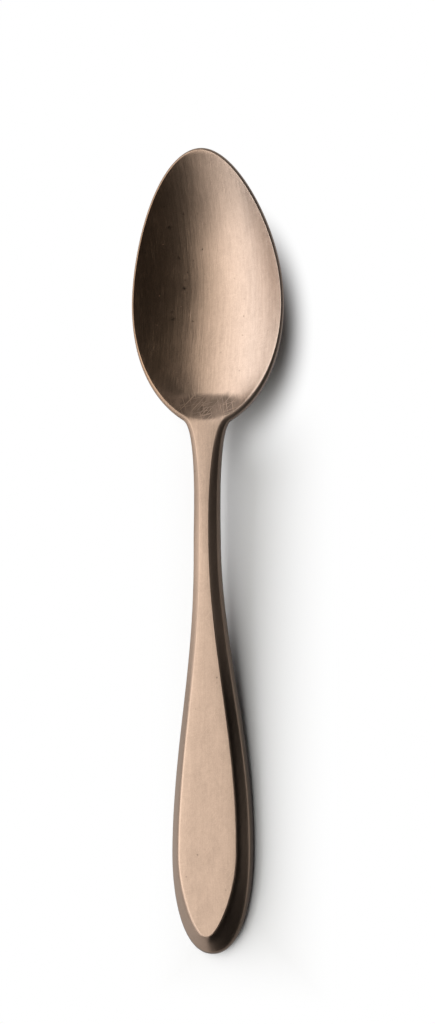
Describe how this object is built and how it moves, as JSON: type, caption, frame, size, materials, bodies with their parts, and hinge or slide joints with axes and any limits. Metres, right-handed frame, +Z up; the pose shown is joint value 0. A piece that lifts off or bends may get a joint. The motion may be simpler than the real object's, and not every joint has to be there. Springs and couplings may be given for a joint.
{
  "type": "mocha spoon",
  "caption": "Small coffee spoon in one piece: an oval bowl with a raised tip, a slim bevelled neck and a long drop-shaped handle with a flat top.",
  "frame": {"origin": "middle of the spoon's length and width, on the table that it lies on", "axes": "+X across the spoon, +Y along it from the handle towards the tip of the bowl, +Z up from the table, into which the bowl's hollow opens"},
  "size_m": [0.0228, 0.115, 0.0098],
  "materials": {
    "bronze_steel": "bronze-coloured coating over satin-brushed stainless steel, lightly scratched and spotted"
  },
  "bodies": {
    "root": {"spoon": "bronze_steel"}
  },
  "joints": []
}
